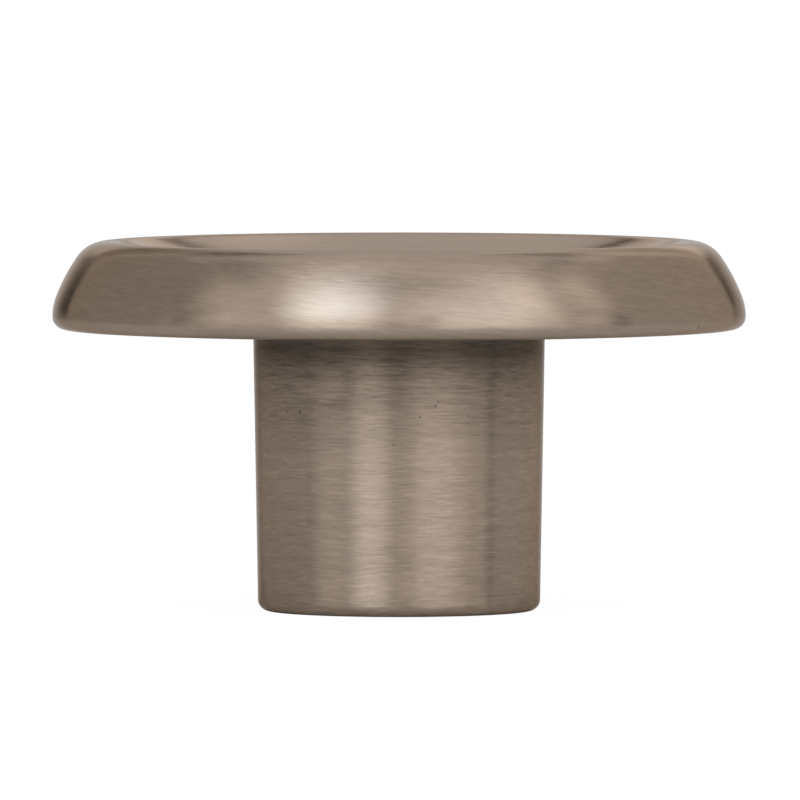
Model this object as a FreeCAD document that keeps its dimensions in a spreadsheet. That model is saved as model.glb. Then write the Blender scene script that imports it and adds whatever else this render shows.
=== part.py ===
"""Cabinet knob, cast and brushed as one piece: a dished round head on a tapered stem, tapped for a screw.

Millimetres. The origin is the centre of the foot, the face that seats on the door or drawer front. +Z runs
up the stem to the head.
"""

import math
import os

import FreeCAD
import Part
import Sketcher

SIZES = {
    # Head: a disc with a leaning, crowned edge, a rounded crest and a dished top
    "head_diameter": (38.1, "widest, just above the underside"),
    "head_thickness": (4.8, "underside to the top of the crest"),
    "underside_height": (15.5, "foot to the underside of the head, the room for the fingers"),
    "crest_inset": (2.95, "from the widest radius in to the ring along the top of the crest"),
    "skirt_radius": (0.68, "lower edge, underside to side"),
    "cheek_radius": (3.1, "low part of the side"),
    "flank_radius": (10.3, "high part of the side"),
    "crest_radius": (1.93, "rounded crest, side to dish"),
    "dish_radius": (44.0, "ball radius of the dish"),
    # Stem: a post with casting draft
    "stem_diameter": (15.5, "at the foot"),
    "stem_draft": (1.0, "lean of the side, in degrees, wider towards the head"),
    "foot_radius": (0.62, "rounded edge round the foot"),
    "neck_radius": (0.5, "inside corner where the stem meets the head"),
    # Blind hole for an 8-32 UNC machine screw
    "tap_drill_diameter": (3.45, "wall of the hole, the thread's minor diameter"),
    "hole_depth": (12.0, "foot to the end of the full-diameter wall"),
    "drill_point_angle": (118.0, "included angle of the hole's end, in degrees"),
    "hole_mouth_diameter": (4.7, "countersink at the foot"),
    "hole_mouth_angle": (90.0, "included angle of the countersink, in degrees"),
}


def make_sheet(doc):
    """The driving dimensions, one row each: name, value with its alias, and what it measures."""
    sheet = doc.addObject("Spreadsheet::Sheet", "sizes")
    for row, (name, (value, meaning)) in enumerate(SIZES.items(), start=1):
        sheet.set(f"A{row}", name)
        sheet.set(f"B{row}", str(value))
        sheet.setAlias(f"B{row}", name)
        sheet.set(f"C{row}", meaning)
    doc.recompute()
    return sheet


def origin_plane(body, role):
    return next(f for f in body.Origin.OriginFeatures if f.Role == role)


def add_sketch(body, name, role):
    """A sketch of the body, flat on one of its own origin planes."""
    sketch = body.newObject("Sketcher::SketchObject", name)
    sketch.AttachmentSupport = [(origin_plane(body, role), "")]
    sketch.MapMode = "FlatFace"
    return sketch


def name_size(sketch, constraint, name, expression):
    """Adds a constraint that has a size, names it and ties it to the sheet."""
    index = sketch.addConstraint(constraint)
    sketch.renameConstraint(index, name)
    sketch.setExpression(f"Constraints.{name}", expression)


def point_at(centre, radius, angle):
    """The point of a circle at an angle in radians from +X."""
    return FreeCAD.Vector(centre.x + radius * math.cos(angle), centre.y + radius * math.sin(angle), 0)


def arc_about(centre, radius, start_angle, end_angle):
    circle = Part.Circle(centre, FreeCAD.Vector(0, 0, 1), radius)
    return Part.ArcOfCircle(circle, start_angle, end_angle)


def flank_centre(cheek_centre, cheek_gap, crest_centre, crest_gap):
    """Centre of the arc that the cheek and the crest both touch from inside, where two circles cross."""
    across = crest_centre - cheek_centre
    span = across.Length
    along = (cheek_gap**2 - crest_gap**2 + span**2) / (2 * span)
    off = math.sqrt(cheek_gap**2 - along**2)
    unit = across * (1 / span)
    return cheek_centre + unit * along + FreeCAD.Vector(-unit.y, unit.x, 0) * off


def draw_head_section(sketch, sheet):
    """Half section of the head, from the underside round to the dish, each arc tangent to the next."""
    head_radius = sheet.head_diameter / 2
    underside_z = sheet.underside_height
    widest_z = underside_z + sheet.skirt_radius
    skirt_c = FreeCAD.Vector(head_radius - sheet.skirt_radius, widest_z, 0)
    cheek_c = FreeCAD.Vector(head_radius - sheet.cheek_radius, widest_z, 0)
    crest_z = underside_z + sheet.head_thickness - sheet.crest_radius
    crest_c = FreeCAD.Vector(head_radius - sheet.crest_inset, crest_z, 0)
    cheek_gap = sheet.flank_radius - sheet.cheek_radius
    crest_gap = sheet.flank_radius - sheet.crest_radius
    flank_c = flank_centre(cheek_c, cheek_gap, crest_c, crest_gap)
    # Angles from +X of the shared radius at each joint between two arcs
    cheek_end = math.atan2(cheek_c.y - flank_c.y, cheek_c.x - flank_c.x)
    flank_end = math.atan2(crest_c.y - flank_c.y, crest_c.x - flank_c.x)
    dish_reach = sheet.dish_radius + sheet.crest_radius
    dish_tilt = math.asin(crest_c.x / dish_reach)
    crest_end = math.pi / 2 + dish_tilt
    dish_c = FreeCAD.Vector(0, crest_c.y + dish_reach * math.cos(dish_tilt), 0)
    axis_low = FreeCAD.Vector(0, underside_z, 0)
    axis_high = FreeCAD.Vector(0, dish_c.y - sheet.dish_radius, 0)
    underside_end = FreeCAD.Vector(skirt_c.x, underside_z, 0)

    underside, skirt, cheek, flank, crest, dish, core = sketch.addGeometry(
        [
            Part.LineSegment(axis_low, underside_end),
            arc_about(skirt_c, sheet.skirt_radius, -math.pi / 2, 0),
            arc_about(cheek_c, sheet.cheek_radius, 0, cheek_end),
            arc_about(flank_c, sheet.flank_radius, cheek_end, flank_end),
            arc_about(crest_c, sheet.crest_radius, flank_end, crest_end),
            arc_about(dish_c, sheet.dish_radius, -math.pi / 2, dish_tilt - math.pi / 2),
            Part.LineSegment(axis_high, axis_low),
        ],
        False,
    )
    origin, start, end, centre, upright = -1, 1, 2, 3, -2
    sketch.addConstraint(
        [
            Sketcher.Constraint("Tangent", underside, end, skirt, start),
            Sketcher.Constraint("Tangent", skirt, end, cheek, start),
            Sketcher.Constraint("Tangent", cheek, end, flank, start),
            Sketcher.Constraint("Tangent", flank, end, crest, start),
            Sketcher.Constraint("Tangent", crest, end, dish, end),
            Sketcher.Constraint("Coincident", dish, start, core, start),
            Sketcher.Constraint("Coincident", core, end, underside, start),
            Sketcher.Constraint("Horizontal", underside),
            Sketcher.Constraint("Vertical", core),
            Sketcher.Constraint("PointOnObject", core, end, upright),
            Sketcher.Constraint("PointOnObject", dish, centre, upright),
            Sketcher.Constraint("Horizontal", skirt, centre, skirt, end),
        ]
    )
    for geometry, name in (
        (skirt, "skirt_radius"),
        (cheek, "cheek_radius"),
        (flank, "flank_radius"),
        (crest, "crest_radius"),
        (dish, "dish_radius"),
    ):
        radius = getattr(sheet, name)
        name_size(sketch, Sketcher.Constraint("Radius", geometry, radius), name, f"sizes.{name}")
    crest_ring = "sizes.head_diameter / 2 - sizes.crest_inset"
    crest_height = "sizes.underside_height + sizes.head_thickness - sizes.crest_radius"
    placed = (
        ("DistanceX", skirt, end, head_radius, "head_radius", "sizes.head_diameter / 2"),
        ("DistanceY", underside, start, underside_z, "underside_height", "sizes.underside_height"),
        ("DistanceX", crest, centre, crest_c.x, "crest_ring", crest_ring),
        ("DistanceY", crest, centre, crest_z, "crest_height", crest_height),
    )
    for kind, geometry, point, value, name, expression in placed:
        constraint = Sketcher.Constraint(kind, origin, start, geometry, point, value)
        name_size(sketch, constraint, name, expression)


def add_head(body, sheet):
    """The head, turned from its half section."""
    section = add_sketch(body, "head_section", "XZ_Plane")
    draw_head_section(section, sheet)
    head = body.newObject("PartDesign::Revolution", "head")
    head.Profile = section
    head.ReferenceAxis = (section, ["V_Axis"])
    head.Angle = 360
    body.Document.recompute()
    return head


def add_stem(body, sheet):
    """The stem, padded up from the foot to the underside with its draft."""
    outline = add_sketch(body, "foot_outline", "XY_Plane")
    foot_circle = Part.Circle(FreeCAD.Vector(), FreeCAD.Vector(0, 0, 1), sheet.stem_diameter / 2)
    circle = outline.addGeometry(foot_circle)
    outline.addConstraint(Sketcher.Constraint("Coincident", circle, 3, -1, 1))
    name_size(
        outline,
        Sketcher.Constraint("Diameter", circle, sheet.stem_diameter),
        "stem_diameter",
        "sizes.stem_diameter",
    )
    stem = body.newObject("PartDesign::Pad", "stem")
    stem.Profile = outline
    stem.setExpression("Length", "sizes.underside_height")
    stem.setExpression("TaperAngle", "sizes.stem_draft")
    body.Document.recompute()
    return stem


def ring_edge(shape, radius, height):
    """Name of the round edge about the Z axis with this radius at this height."""
    for number, edge in enumerate(shape.Edges, start=1):
        curve = edge.Curve
        if not isinstance(curve, Part.Circle):
            continue
        if abs(curve.Radius - radius) < 1e-3 and abs(curve.Center.z - height) < 1e-3:
            return f"Edge{number}"
    raise ValueError(f"no ring of radius {radius:.3f} at height {height:.3f}")


def add_fillet(body, name, base, radius, height, size):
    """A fillet along one ring of the body, its radius tied to the named size."""
    fillet = body.newObject("PartDesign::Fillet", name)
    fillet.Base = (base, [ring_edge(base.Shape, radius, height)])
    fillet.setExpression("Radius", f"sizes.{size}")
    body.Document.recompute()
    return fillet


def add_screw_hole(body):
    """The blind hole up the stem, left at its tapping size, with a countersunk mouth and a drilled end."""
    centre = add_sketch(body, "hole_centre", "XY_Plane")
    mark = centre.addGeometry(Part.Circle(FreeCAD.Vector(), FreeCAD.Vector(0, 0, 1), 1.0))
    centre.addConstraint(Sketcher.Constraint("Coincident", mark, 3, -1, 1))
    name_size(centre, Sketcher.Constraint("Diameter", mark, 2.0), "mark", "sizes.tap_drill_diameter")
    body.Document.recompute()
    hole = body.newObject("PartDesign::Hole", "screw_hole")
    hole.Profile = centre
    body.Document.recompute()
    hole.Threaded = False
    hole.DepthType = "Dimension"
    hole.DrillPoint = "Angled"
    hole.DrillForDepth = False
    hole.HoleCutType = "Countersink"
    hole.HoleCutCustomValues = True
    hole.Reversed = True
    hole.setExpression("Diameter", "sizes.tap_drill_diameter")
    hole.setExpression("Depth", "sizes.hole_depth")
    hole.setExpression("DrillPointAngle", "sizes.drill_point_angle")
    hole.setExpression("HoleCutDiameter", "sizes.hole_mouth_diameter")
    hole.setExpression("HoleCutCountersinkAngle", "sizes.hole_mouth_angle")
    body.Document.recompute()
    return hole


def make_knob(doc, sheet):
    """The whole knob as one body: head, stem, softened edges and tapped hole."""
    body = doc.addObject("PartDesign::Body", "knob")
    body.Label = "knob"
    add_head(body, sheet)
    stem = add_stem(body, sheet)
    foot_ring = sheet.stem_diameter / 2
    neck_ring = foot_ring + sheet.underside_height * math.tan(math.radians(sheet.stem_draft))
    neck = add_fillet(body, "neck", stem, neck_ring, sheet.underside_height, "neck_radius")
    add_fillet(body, "foot_edge", neck, foot_ring, 0, "foot_radius")
    hole = add_screw_hole(body)
    body.Tip = hole
    body.Placement = FreeCAD.Placement()
    doc.recompute()
    return body


def check(doc, parts):
    """Stops if any object failed, a sketch is loose or a part isn't one sound solid."""
    for item in doc.Objects:
        if {"Invalid", "Error"} & set(item.State):
            raise RuntimeError(f"{item.Name} failed: {item.State}")
        if item.TypeId == "Sketcher::SketchObject" and item.solve() != 0:
            raise RuntimeError(f"{item.Name} does not solve")
    for part in parts:
        shape = part.Shape
        if shape.isNull() or not shape.isValid() or len(shape.Solids) != 1:
            raise RuntimeError(f"{part.Label} is not one valid solid")


def main():
    doc = FreeCAD.newDocument("cabinet_knob")
    sheet = make_sheet(doc)
    parts = [make_knob(doc, sheet)]
    check(doc, parts)
    os.makedirs("parts", exist_ok=True)
    for part in parts:
        part.Shape.exportStep(f"parts/{part.Label}.step")
        box = part.Shape.optimalBoundingBox(False, False)
        size = f"{box.XLength:.3f} x {box.YLength:.3f} x {box.ZLength:.3f} mm"
        print(f"{part.Label}: {size}, {part.Shape.Volume:.1f} mm3")


main()
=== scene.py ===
"""A satin nickel cabinet knob standing on its foot on a white studio floor."""

import math

import bpy
import numpy as np
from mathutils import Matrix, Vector


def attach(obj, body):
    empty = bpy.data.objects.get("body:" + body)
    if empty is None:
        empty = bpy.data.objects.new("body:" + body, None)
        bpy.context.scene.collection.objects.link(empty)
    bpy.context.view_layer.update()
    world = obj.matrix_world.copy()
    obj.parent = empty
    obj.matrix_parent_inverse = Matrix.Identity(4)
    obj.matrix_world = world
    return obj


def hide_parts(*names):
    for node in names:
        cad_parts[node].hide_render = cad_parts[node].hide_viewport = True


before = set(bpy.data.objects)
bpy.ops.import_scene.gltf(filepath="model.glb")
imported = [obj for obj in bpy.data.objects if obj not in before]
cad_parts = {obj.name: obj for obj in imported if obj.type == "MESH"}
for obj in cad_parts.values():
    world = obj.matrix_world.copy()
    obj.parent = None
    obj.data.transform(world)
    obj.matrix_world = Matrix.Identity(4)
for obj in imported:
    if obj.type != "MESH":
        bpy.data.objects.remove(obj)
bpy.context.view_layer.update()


# The knob: one die casting, head and stem together. Its outside is brushed round the axis on a lathe, plated with satin
# nickel and lacquered, and the foot is tapped for the machine screw that holds it to the door or drawer front.
# Sizes are in millimetres.
MM = 0.001
HEAD_RADIUS = 19.05
HEAD_THICKNESS = 4.8
UNDERSIDE_HEIGHT = 15.5
CREST_INSET = 2.95
SKIRT_RADIUS = 0.68
CHEEK_RADIUS = 3.1
FLANK_RADIUS = 10.3
CREST_RADIUS = 1.93
DISH_RADIUS = 44.0
STEM_RADIUS = 7.75
STEM_DRAFT = math.radians(1.0)
FOOT_ROUND = 0.62
NECK_ROUND = 0.5
HOLE_RADIUS = 1.725
HOLE_DEPTH = 12.0
HOLE_MOUTH_RADIUS = 2.35
DRILL_POINT = math.radians(118)
THREAD_PITCH = 25.4 / 32
THREAD_DEPTH = 0.36
THREAD_TOP = 1.35
THREAD_SLOPE = 3.2
STEPS_PER_PITCH = 9
SEGMENTS = 192


def arc(centre, radius, start, end, steps):
    """Points on a circle from one angle to another, in degrees from straight out, leaving out the first."""
    angle = np.radians(np.linspace(start, end, steps + 1)[1:])
    return np.column_stack((centre[0] + radius * np.cos(angle), centre[1] + radius * np.sin(angle)))


def run(start, end, steps):
    """Points on the straight line between two points, evenly spaced, leaving out the first."""
    share = np.linspace(0, 1, steps + 1)[1:, None]
    return (1 - share) * np.asarray(start, float) + share * np.asarray(end, float)


def knob_profile():
    """Half section of the knob, from the middle of the dish outwards, down and back in to the end of the hole.

    Every arc is tangent to the next. The flank's centre is where two circles cross: one about the cheek's centre, one
    about the crest's, each as large as the flank's radius less that arc's own. Returns the points (distance from the
    axis, height) in millimetres, the numbers of those where the surface has a sharp edge, and the numbers of the two
    between which the thread runs.
    """
    widest = UNDERSIDE_HEIGHT + SKIRT_RADIUS
    skirt = np.array((HEAD_RADIUS - SKIRT_RADIUS, widest))
    cheek = np.array((HEAD_RADIUS - CHEEK_RADIUS, widest))
    crest = np.array((HEAD_RADIUS - CREST_INSET, UNDERSIDE_HEIGHT + HEAD_THICKNESS - CREST_RADIUS))
    across = crest - cheek
    span = np.hypot(*across)
    along = ((FLANK_RADIUS - CHEEK_RADIUS) ** 2 - (FLANK_RADIUS - CREST_RADIUS) ** 2 + span**2) / (2 * span)
    off = math.sqrt((FLANK_RADIUS - CHEEK_RADIUS) ** 2 - along**2)
    flank = cheek + across / span * along + np.array((-across[1], across[0])) / span * off
    cheek_end = math.degrees(math.atan2(*(cheek - flank)[::-1]))
    flank_end = math.degrees(math.atan2(*(crest - flank)[::-1]))
    tilt = math.asin(crest[0] / (DISH_RADIUS + CREST_RADIUS))
    dish = np.array((0, crest[1] + (DISH_RADIUS + CREST_RADIUS) * math.cos(tilt)))
    dish_tilt = math.degrees(tilt)
    lean, rise = math.sin(STEM_DRAFT), math.cos(STEM_DRAFT)
    neck = np.array((STEM_RADIUS + (NECK_ROUND + (UNDERSIDE_HEIGHT - NECK_ROUND) * lean) / rise, UNDERSIDE_HEIGHT))
    neck[1] -= NECK_ROUND
    foot = np.array((STEM_RADIUS - (FOOT_ROUND - FOOT_ROUND * lean) / rise, FOOT_ROUND))
    stem_top = neck + NECK_ROUND * np.array((-rise, lean))
    stem_low = foot + FOOT_ROUND * np.array((rise, -lean))
    draft = math.degrees(STEM_DRAFT)
    mouth_depth = HOLE_MOUTH_RADIUS - HOLE_RADIUS
    point_depth = HOLE_RADIUS / math.tan(DRILL_POINT / 2)
    thread_steps = int(round((HOLE_DEPTH - mouth_depth) / THREAD_PITCH * STEPS_PER_PITCH))

    # Each stretch ends with the number of steps it is cut into
    stretches = [
        np.array([(0, dish[1] - DISH_RADIUS)]),
        arc(dish, DISH_RADIUS, -90, dish_tilt - 90, 60),
        arc(crest, CREST_RADIUS, 90 + dish_tilt, flank_end, 30),
        arc(flank, FLANK_RADIUS, flank_end, cheek_end, 16),
        arc(cheek, CHEEK_RADIUS, cheek_end, 0, 14),
        arc(skirt, SKIRT_RADIUS, 0, -90, 16),
        run((skirt[0], UNDERSIDE_HEIGHT), (neck[0], UNDERSIDE_HEIGHT), 24),
        arc(neck, NECK_ROUND, 90, 180 - draft, 8),
        run(stem_top, stem_low, 40),
        arc(foot, FOOT_ROUND, -draft, -90, 12),
        run((foot[0], 0), (HOLE_MOUTH_RADIUS, 0), 8),
        run((HOLE_MOUTH_RADIUS, 0), (HOLE_RADIUS, mouth_depth), 4),
        run((HOLE_RADIUS, mouth_depth), (HOLE_RADIUS, HOLE_DEPTH), thread_steps),
        run((HOLE_RADIUS, HOLE_DEPTH), (0, HOLE_DEPTH + point_depth), 6),
    ]
    ends = np.cumsum([len(points) for points in stretches]) - 1
    mouth, thread_start, thread_end = ends[[10, 11, 12]]
    return np.concatenate(stretches), (mouth, thread_start, thread_end), (thread_start, thread_end)


def turned_mesh(name, profile, sharp, threaded):
    """A closed surface: the profile carried once round the Z axis.

    Between the two threaded points the wall is pushed outwards by a 60 degree ridge-and-groove wave whose phase moves
    one pitch for each turn, and which fades in and out over one pitch. The attribute "along" is the distance along the
    profile in millimetres. In the map "turned", U is the share of the profile and V the share of the turn.
    """
    turn = np.linspace(0, 2 * np.pi, SEGMENTS, endpoint=False)
    radius, height = profile[1:-1, 0], profile[1:-1, 1]
    first, last = threaded[0] - 1, threaded[1] - 1
    depth = height[first : last + 1] - height[first]
    phase = (depth[:, None] - THREAD_PITCH * turn[None, :] / (2 * np.pi)) / THREAD_PITCH % 1
    fade = np.clip(np.minimum(depth, depth[-1] - depth) / THREAD_PITCH, 0, 1)[:, None]
    radii = np.repeat(radius[:, None], SEGMENTS, axis=1)
    radii[first : last + 1] += THREAD_DEPTH * fade * np.clip(THREAD_TOP - np.abs(phase - 0.5) * THREAD_SLOPE, 0, 1)
    x = radii * np.cos(turn)[None, :]
    y = radii * np.sin(turn)[None, :]
    z = np.repeat(height[:, None], SEGMENTS, axis=1)
    rings = np.stack((x, y, z), axis=2).reshape(-1, 3)
    points = np.concatenate(([[0, 0, profile[0, 1]]], rings, [[0, 0, profile[-1, 1]]])) * MM

    # Four-sided faces between the rings, and a fan of triangles at each end
    count = len(radius)
    ring = np.arange(count - 1)[:, None] * SEGMENTS + 1
    here = np.arange(SEGMENTS)[None, :]
    following = (here + 1) % SEGMENTS
    quads = np.stack(
        (ring + here, ring + SEGMENTS + here, ring + SEGMENTS + following, ring + following), axis=2
    ).reshape(-1, 4)
    end = len(points) - 1
    low = 1 + (count - 1) * SEGMENTS
    pairs = list(zip(here[0].tolist(), following[0].tolist()))
    caps = [(0, 1 + a, 1 + b) for a, b in pairs] + [(end, low + b, low + a) for a, b in pairs]
    mesh = bpy.data.meshes.new(name)
    mesh.from_pydata(points.tolist(), [], quads.tolist() + caps)
    mesh.update()

    travelled = np.concatenate(([0], np.cumsum(np.hypot(*np.diff(profile, axis=0).T))))
    along = np.concatenate((travelled[:1], np.repeat(travelled[1:-1], SEGMENTS), travelled[-1:]))
    mesh.attributes.new("along", "FLOAT", "POINT").data.foreach_set("value", along.astype(np.float32))

    # The map: V runs on to 1 in the last face of each ring, and a fan's tip takes the middle of its face
    corner = np.empty(len(mesh.loops), np.int32)
    mesh.loops.foreach_get("vertex_index", corner)
    share = np.concatenate(([0], np.tile(np.arange(SEGMENTS) / SEGMENTS, count), [0]))
    v = share[corner]
    closing = here[0] == SEGMENTS - 1
    last_face = np.concatenate((np.repeat(np.tile(closing, count - 1), 4), np.repeat(np.tile(closing, 2), 3)))
    v[last_face & (v < 0.5)] = 1.0
    tip = (corner == 0) | (corner == end)
    v[tip] = (np.tile(here[0], 2) + 0.5) / SEGMENTS
    u = along[corner] / travelled[-1]
    layer = mesh.uv_layers.new(name="turned")
    layer.data.foreach_set("uv", np.column_stack((u, v)).astype(np.float32).ravel())

    ends = np.empty(len(mesh.edges) * 2, np.int32)
    mesh.edges.foreach_get("vertices", ends)
    level = (ends.reshape(-1, 2) - 1) // SEGMENTS + 1
    hard = (level[:, 0] == level[:, 1]) & np.isin(level[:, 0], sharp)
    mesh.attributes.new("sharp_edge", "BOOLEAN", "EDGE").data.foreach_set("value", hard)
    mesh.shade_smooth()
    mesh.attributes["sharp_edge"].data.foreach_set("value", hard)
    return mesh


def linear(code):
    """The colour of an sRGB hex code in the linear light that shaders use."""
    value = np.array([int(code[i : i + 2], 16) for i in (0, 2, 4)]) / 255
    value = np.where(value <= 0.04045, value / 12.92, ((value + 0.055) / 1.055) ** 2.4)
    return (*value.tolist(), 1.0)


def add(tree, kind, links=None, stops=(), **settings):
    """Adds a node; settings fill its properties, or its sockets where a name starts with "in_", and links join it.

    A socket goes by its name or its number. The stops of a ramp are pairs of a distance along the profile, in
    millimetres, and the grey value there.
    """
    node = tree.nodes.new(kind)
    for name, value in settings.items():
        if name.startswith("in_"):
            key = name[3:].replace("_", " ")
            socket = node.inputs[int(key)] if key.isdigit() else node.inputs[key]
            socket.default_value = value
        else:
            setattr(node, name, value)
    for key, source in (links or {}).items():
        tree.links.new(source, node.inputs[key])
    if stops:
        ramp = node.color_ramp.elements
        while len(ramp) < len(stops):
            ramp.new(0.5)
        for stop, (distance, value) in zip(ramp, stops):
            stop.position = distance / RAMP_LENGTH
            stop.color = (value, value, value, 1)
    return node


# The finish: real sizes of what the brush left, in millimetres, and the pinholes in the casting
RAMP_LENGTH = 50.0
NICKEL = "bca794"
GROOVE_LENGTH, GROOVE_WIDTH, GROOVE_DEPTH = 1.1, 0.12, 0.009
BAND_LENGTH, BAND_WIDTH = 5, 0.4
WANDER_LENGTH, WANDER_WIDTH = 7, 0.5
STROKE_LEAN = -0.12
PITS = (
    # degrees round from the front; millimetres from the axis, above the foot and across
    (-43.0, 7.94, 11.14, 0.22),
    (-50.4, 7.94, 11.17, 0.14),
    (15.6, 7.96, 11.78, 0.14),
    (14.5, 7.95, 11.56, 0.18),
    (8.2, 7.94, 10.97, 0.14),
    (-2.3, 7.91, 9.42, 0.12),
    (28.4, 7.94, 10.96, 0.12),
    (58.9, 19.01, 15.92, 0.22),
    (-72.6, 15.31, 20.14, 0.16),
)


def satin_nickel():
    """Satin nickel over a brushed casting: warm grey, with hair-fine grooves round the axis.

    The eye sees highlights drawn out along the stem, since the grooves spread light across themselves only, short pale
    and dark streaks round it, and a smoother, more mirror-like dish. The streaks are noise in a space squeezed about
    tenfold along the profile, so they run round the axis, and a slower noise bends them as a hand does.
    """
    material = bpy.data.materials.new("satin_nickel_plate")
    material.use_nodes = True
    tree = material.node_tree
    tree.nodes.clear()
    place = add(tree, "ShaderNodeTexCoord").outputs["Object"]
    along = add(tree, "ShaderNodeAttribute", attribute_name="along").outputs["Fac"]
    parts = add(tree, "ShaderNodeSeparateXYZ", {0: place}).outputs

    # Wander of the brush: up to a quarter of a millimetre off the true circle over about 7 mm. On the head's side,
    # where the hand drew it downwards to the right, the strokes also lean: 0.12 mm for each millimetre across the front.
    wander = add(tree, "ShaderNodeTexNoise", {0: place}, in_Scale=1 / (WANDER_LENGTH * MM), in_Detail=1.0)
    bent = add(
        tree, "ShaderNodeMath", {0: wander.outputs["Fac"], 2: along}, operation="MULTIPLY_ADD", in_1=WANDER_WIDTH
    ).outputs[0]
    share = add(tree, "ShaderNodeMath", {0: along}, operation="DIVIDE", in_1=RAMP_LENGTH).outputs[0]
    side_only = ((13.0, 0.0), (20.0, 1.0), (23.0, 1.0), (33.0, 0.0))
    leaning = add(tree, "ShaderNodeValToRGB", {0: share}, side_only)
    lean = add(tree, "ShaderNodeMath", {0: parts[0], 1: leaning.outputs[0]}, operation="MULTIPLY")
    stroke = add(
        tree, "ShaderNodeMath", {0: lean.outputs[0], 2: bent}, operation="MULTIPLY_ADD", in_1=STROKE_LEAN / MM
    )

    # Grooves: streaks about 1.1 mm long and 0.12 mm wide
    across = add(tree, "ShaderNodeMath", {0: stroke.outputs[0]}, operation="DIVIDE", in_1=GROOVE_WIDTH)
    east = add(tree, "ShaderNodeMath", {0: parts[0]}, operation="DIVIDE", in_1=GROOVE_LENGTH * MM)
    north = add(tree, "ShaderNodeMath", {0: parts[1]}, operation="DIVIDE", in_1=GROOVE_LENGTH * MM)
    squeezed = add(tree, "ShaderNodeCombineXYZ", {0: east.outputs[0], 1: north.outputs[0], 2: across.outputs[0]})
    grooves = add(
        tree, "ShaderNodeTexNoise", {0: squeezed.outputs[0]}, in_Scale=1.0, in_Detail=3.0, in_Roughness=0.6
    ).outputs["Fac"]

    # Bands: broader passes of the abrasive, about 5 mm long and 0.4 mm wide
    slower = (GROOVE_LENGTH / BAND_LENGTH, GROOVE_LENGTH / BAND_LENGTH, GROOVE_WIDTH / BAND_WIDTH)
    slow = add(tree, "ShaderNodeVectorMath", {0: squeezed.outputs[0]}, operation="MULTIPLY", in_1=slower)
    bands = add(tree, "ShaderNodeTexNoise", {0: slow.outputs[0]}, in_Scale=1.0, in_Detail=2.0).outputs["Fac"]

    # How smooth each part was left: polished dish and crest, brushed side, then underside and stem
    finish_stops = ((15.6, 0.10), (16.2, 0.18), (23.0, 0.19), (33.0, 0.26))
    finish = add(tree, "ShaderNodeValToRGB", {0: share}, finish_stops)
    uneven = add(tree, "ShaderNodeMapRange", {0: grooves}, in_1=0.3, in_2=0.7, in_3=-0.02, in_4=0.02)
    roughness = add(tree, "ShaderNodeMath", {0: finish.outputs[0], 1: uneven.outputs[0]}, operation="ADD")

    # How far the grooves show, which is least on the polished part and most on the stem
    depth_stops = ((16.6, 0.3), (18.6, 0.6), (23.0, 0.6), (33.0, 1.8), (35.5, 1.8), (39.0, 1.0))
    depth = add(tree, "ShaderNodeValToRGB", {0: share}, depth_stops)
    groove_shade = add(tree, "ShaderNodeMapRange", {0: grooves}, in_1=0.25, in_2=0.75, in_3=-0.20, in_4=0.20)
    band_shade = add(tree, "ShaderNodeMapRange", {0: bands}, in_1=0.3, in_2=0.7, in_3=-0.07, in_4=0.07)
    streaks = add(tree, "ShaderNodeMath", {0: groove_shade.outputs[0], 1: band_shade.outputs[0]}, operation="ADD")
    shade = add(
        tree, "ShaderNodeMath", {0: streaks.outputs[0], 1: depth.outputs[0]}, operation="MULTIPLY_ADD", in_2=1.0
    )

    # Painted shade in the corner under the head: the plate's colour is darkened on both sides of the corner, to about a
    # quarter under the head and back to full down the stem, to stand for the shade that the head casts there. The edge
    # of the darkening wanders as the brush does.
    painted_shade_under_head = ((31.5, 1.0), (33.5, 0.3), (34.4, 0.26))
    painted_shade_down_stem = ((35.0, 0.4), (35.6, 0.56), (36.4, 0.72), (38.3, 0.85), (40.3, 1.0))
    bent_share = add(tree, "ShaderNodeMath", {0: bent}, operation="DIVIDE", in_1=RAMP_LENGTH)
    # Painted shade: this ramp darkens the colour under the head and at the top of the stem
    corner = add(tree, "ShaderNodeValToRGB", {0: bent_share.outputs[0]}, painted_shade_under_head + painted_shade_down_stem)
    shade = add(tree, "ShaderNodeMath", {0: shade.outputs[0], 1: corner.outputs[0]}, operation="MULTIPLY")

    # Pits: pinholes in the casting that the plate didn't close, half as bright in the middle as the plate round them
    for turn, radius, height, width in PITS:
        angle = math.radians(turn)
        spot = Vector((radius * math.sin(angle), -radius * math.cos(angle), height)) * MM
        pit = add(tree, "ShaderNodeVectorMath", {0: place}, operation="DISTANCE", in_1=spot)
        closed = add(
            tree,
            "ShaderNodeMapRange",
            {0: pit.outputs["Value"]},
            in_1=0.25 * width * MM,
            in_2=0.6 * width * MM,
            in_3=0.5,
            in_4=1.0,
        )
        shade = add(tree, "ShaderNodeMath", {0: shade.outputs[0], 1: closed.outputs[0]}, operation="MULTIPLY")

    colour = add(
        tree, "ShaderNodeVectorMath", {1: shade.outputs[0]}, operation="MULTIPLY", in_0=linear(NICKEL)[:3]
    )
    bump = add(tree, "ShaderNodeBump", {"Height": grooves}, in_Strength=0.5, in_Distance=GROOVE_DEPTH * MM)
    tangent = add(tree, "ShaderNodeTangent", direction_type="UV_MAP", uv_map="turned")
    metal = add(
        tree,
        "ShaderNodeBsdfPrincipled",
        {
            "Base Color": colour.outputs[0],
            "Roughness": roughness.outputs[0],
            "Normal": bump.outputs[0],
            "Tangent": tangent.outputs[0],
        },
        in_Metallic=1.0,
        in_Anisotropic=0.95,
        in_Specular_Tint=(0.78, 0.68, 0.60, 1.0),
    )
    add(tree, "ShaderNodeOutputMaterial", {0: metal.outputs[0]})
    return material


knob = bpy.data.objects.new("turned_knob", turned_mesh("turned_knob", *knob_profile()))
bpy.context.scene.collection.objects.link(knob)
knob.data.materials.append(satin_nickel())
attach(knob, "root")
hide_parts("knob")


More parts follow.
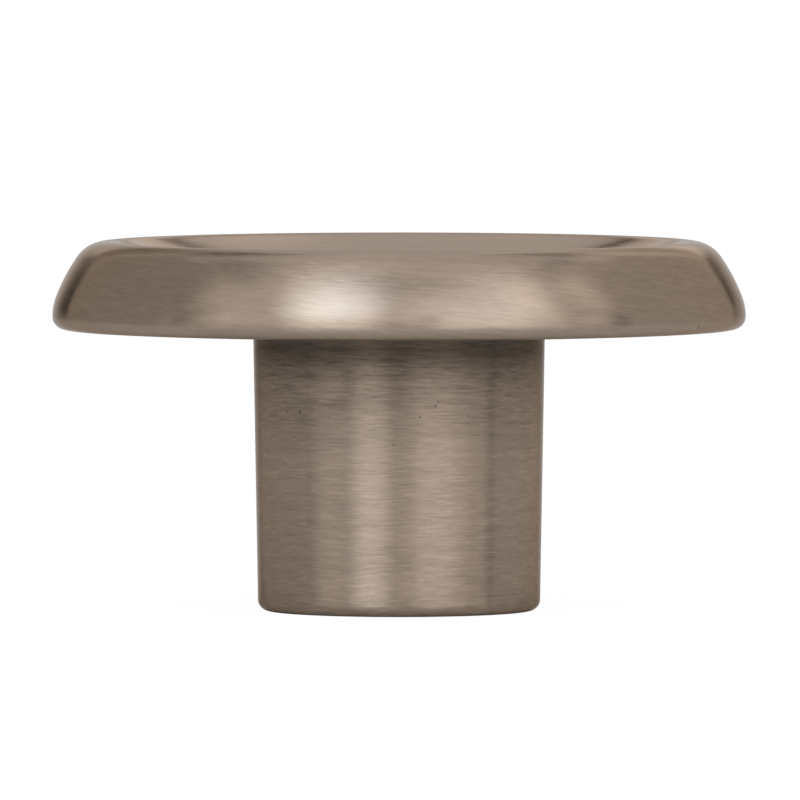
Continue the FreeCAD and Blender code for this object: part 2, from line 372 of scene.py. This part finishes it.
# The floor: white paper under and behind the knob, out to the walls. The camera sees it lit to white, with the knob's
# shadow left on it, and the metal sees it as the lamps light it.
WHITE = (1, 1, 1, 1)
ROOM_REACH = 6
floor_corners = [(x * ROOM_REACH, y * ROOM_REACH) for x, y in ((-1, -1), (1, -1), (1, 1), (-1, 1))]
floor_mesh = bpy.data.meshes.new("paper_floor")
floor_mesh.from_pydata([(x, y, 0) for x, y in floor_corners], [], [(0, 1, 2, 3)])
paper_floor = bpy.data.objects.new("paper_floor", floor_mesh)
bpy.context.scene.collection.objects.link(paper_floor)
paper = bpy.data.materials.new("white_paper")
paper.use_nodes = True
tree = paper.node_tree
tree.nodes.clear()
ray = add(tree, "ShaderNodeLightPath")
matte = add(tree, "ShaderNodeBsdfPrincipled", in_Base_Color=linear("dedede"), in_Roughness=0.35)
shadow = add(tree, "ShaderNodeBsdfDiffuse", in_Color=linear("5a5a5a"))
lit = add(tree, "ShaderNodeEmission", in_Color=WHITE, in_Strength=0.955)
seen = add(tree, "ShaderNodeAddShader", {0: shadow.outputs[0], 1: lit.outputs[0]})
whole = add(tree, "ShaderNodeMixShader", {0: ray.outputs["Is Camera Ray"], 1: matte.outputs[0], 2: seen.outputs[0]})
add(tree, "ShaderNodeOutputMaterial", {0: whole.outputs[0]})
floor_mesh.materials.append(paper)


# The lamps: soft panels of light 2.4 m from the knob, each a rectangle facing it whose brightness fades out towards
# its edges. The gaps between them, and the dark one round the lit backdrop most of all, are what draws the black lines
# along the head's rim.
REACH = 2.4
PANELS = {
    # azimuth from the camera's side, elevation, width and height in degrees; the share of the half width and of the
    # half height over which it fades; brightness; colour
    "key": (-24, 33, 45, 56, 1.0, 0.7, 1.70, (1, 1.18, 1.38)),
    "key_low": (-23.8, 4.5, 41, 27, 0.9, 0.8, 1.21, (1, 0.98, 0.95)),
    "left_wide": (-52, 28, 59, 64, 0.8, 0.7, 0.60, (1, 1.03, 1.06)),
    "left_low": (-60, 6, 62, 30, 0.8, 0.8, 0.36, (1, 1, 1)),
    "middle": (-3, 28, 34, 58, 0.8, 0.7, 0.38, (1, 1, 1)),
    "middle_low": (-5, 14, 32, 36, 0.8, 0.8, 0.46, (1, 1, 1)),
    "fill": (29.5, 30.5, 63, 59, 0.75, 0.7, 1.05, (1, 1.07, 1.16)),
    "fill_low": (29, 3.5, 64, 26, 0.8, 0.8, 1.14, (1, 1, 1)),
    "right_wide": (63, 28, 43, 68, 0.7, 0.6, 0.46, (1, 1, 1)),
    "right_low": (64, 7, 34, 28, 0.7, 0.8, 0.28, (1, 1, 1)),
    "front_high": (0, 64, 140, 36, 0.6, 0.6, 0.10, (1, 1, 1)),
    "left_high": (-45, 79, 50, 24, 0.9, 0.9, 0.16, (1, 1, 1)),
    "ceiling": (0, 90, 84, 84, 0.6, 0.6, 0.54, (1, 1.03, 1.08)),
    "left_side": (-113.5, 27, 68, 64, 0.04, 0.35, 0.26, (1, 1, 1)),
    "right_side": (115.5, 27, 71, 66, 0.06, 0.3, 0.36, (1, 1, 1)),
    "backdrop": (179.5, 1.5, 61, 43.6, 0.7, 0.15, 0.48, (1, 1, 1)),
    "back_strip": (177, 17, 20, 12, 0.5, 0.3, 0.28, (1, 1.05, 1.12)),
    "back_high": (180, 38.4, 22, 27.2, 0.4, 0.06, 0.60, (1, 1.11, 1.25)),
    "left_back": (-158, 30, 26, 36, 0.4, 0.4, 0.20, (1, 1, 1)),
    "right_back": (160.5, 31.5, 25, 35, 0.5, 0.3, 0.42, (1, 1, 1)),
    "right_back_low": (153, -2, 14, 20, 0.3, 0.3, 0.14, (1, 1, 1)),
    "back_top": (180, 59, 26, 18, 0.6, 0.6, 0.32, (1, 1.05, 1.12)),
}
for name, (azimuth, elevation, width, height, side_fade, top_fade, brightness, colour) in PANELS.items():
    data = bpy.data.lights.new(name, "AREA")
    data.shape = "RECTANGLE"
    data.size = 2 * REACH * math.tan(math.radians(width / 2))
    data.size_y = 2 * REACH * math.tan(math.radians(height / 2))
    data.energy = brightness * math.pi * data.size * data.size_y
    data.color = colour
    data.use_nodes = True
    tree = data.node_tree
    tree.nodes.clear()

    # The place on the panel runs from 0 to 1 each way: the map range's sockets 7 to 10 take it from where the fade
    # starts out to the edge, which becomes full light down to none
    place = add(tree, "ShaderNodeNewGeometry").outputs["Parametric"]
    middle = add(tree, "ShaderNodeVectorMath", {0: place}, operation="SUBTRACT", in_1=(0.5, 0.5, 0))
    off = add(tree, "ShaderNodeVectorMath", {0: middle.outputs[0]}, operation="ABSOLUTE")
    fade = add(
        tree,
        "ShaderNodeMapRange",
        {6: off.outputs[0]},
        data_type="FLOAT_VECTOR",
        interpolation_type="SMOOTHSTEP",
        in_7=(0.5 - side_fade / 2, 0.5 - top_fade / 2, 0),
        in_8=(0.5, 0.5, 0.5),
        in_9=(1, 1, 1),
        in_10=(0, 0, 0),
    )
    sides = add(tree, "ShaderNodeSeparateXYZ", {0: fade.outputs[1]})
    share = add(tree, "ShaderNodeMath", {0: sides.outputs[0], 1: sides.outputs[1]}, operation="MULTIPLY")
    glow = add(tree, "ShaderNodeEmission", {"Strength": share.outputs[0]})
    add(tree, "ShaderNodeOutputLight", {0: glow.outputs[0]})

    panel = bpy.data.objects.new(name, data)
    bpy.context.scene.collection.objects.link(panel)
    azimuth, elevation = math.radians(azimuth), math.radians(elevation)
    level = math.cos(elevation)
    way = Vector((math.sin(azimuth) * level, -math.cos(azimuth) * level, math.sin(elevation)))
    panel.location = way * REACH
    panel.rotation_euler = (-way).to_track_quat("-Z", "Y").to_euler()
    panel.visible_camera = False


# The room round it: dim grey walls and a ceiling, 6 m off and 6 m high. They are what the metal reflects between the
# panels, and the camera looks past them at plain white.
ROOM_HEIGHT = 6
walls_mesh = bpy.data.meshes.new("room_walls")
room_corners = [(x, y, z) for z in (0, ROOM_HEIGHT) for x, y in floor_corners]
walls_mesh.from_pydata(room_corners, [], [(1, 0, 4, 5), (2, 1, 5, 6), (3, 2, 6, 7), (0, 3, 7, 4), (7, 6, 5, 4)])
room_walls = bpy.data.objects.new("room_walls", walls_mesh)
bpy.context.scene.collection.objects.link(room_walls)
room_walls.visible_camera = False
grey = bpy.data.materials.new("dim_grey_wall")
grey.use_nodes = True
grey.cycles.emission_sampling = "NONE"
grey.node_tree.nodes.clear()
dim = add(grey.node_tree, "ShaderNodeEmission", in_Color=WHITE, in_Strength=0.08)
add(grey.node_tree, "ShaderNodeOutputMaterial", {0: dim.outputs[0]})
walls_mesh.materials.append(grey)

world = bpy.data.worlds.new("white")
bpy.context.scene.world = world
world.use_nodes = True
world.cycles.sampling_method = "NONE"
tree = world.node_tree
tree.nodes.clear()
white = add(tree, "ShaderNodeBackground", in_Color=WHITE, in_Strength=1.0)
add(tree, "ShaderNodeOutputWorld", {0: white.outputs[0]})


# The camera: a long lens nearly level with the knob, looking slightly down. The picture is 800 pixels wide, and a
# millimetre at the knob is 18.1937 of them.
DISTANCE = 0.9012
PITCH = math.radians(2.3043)
AIM = Vector((0.00001, 0, 0.011568))
SENSOR = 36
PICTURE_WIDTH = 800
PIXELS_PER_MM = 18.1937
camera_data = bpy.data.cameras.new("long_lens")
camera_data.sensor_width = SENSOR
camera_data.lens = PIXELS_PER_MM * DISTANCE / MM * SENSOR / PICTURE_WIDTH
camera_data.shift_x = 0.00095
camera = bpy.data.objects.new("camera", camera_data)
bpy.context.scene.collection.objects.link(camera)
camera.location = AIM + Vector((0, -math.cos(PITCH), math.sin(PITCH))) * DISTANCE
camera.rotation_euler = (math.pi / 2 - PITCH, 0, 0)
bpy.context.scene.camera = camera

bpy.context.scene.view_settings.view_transform = "Standard"
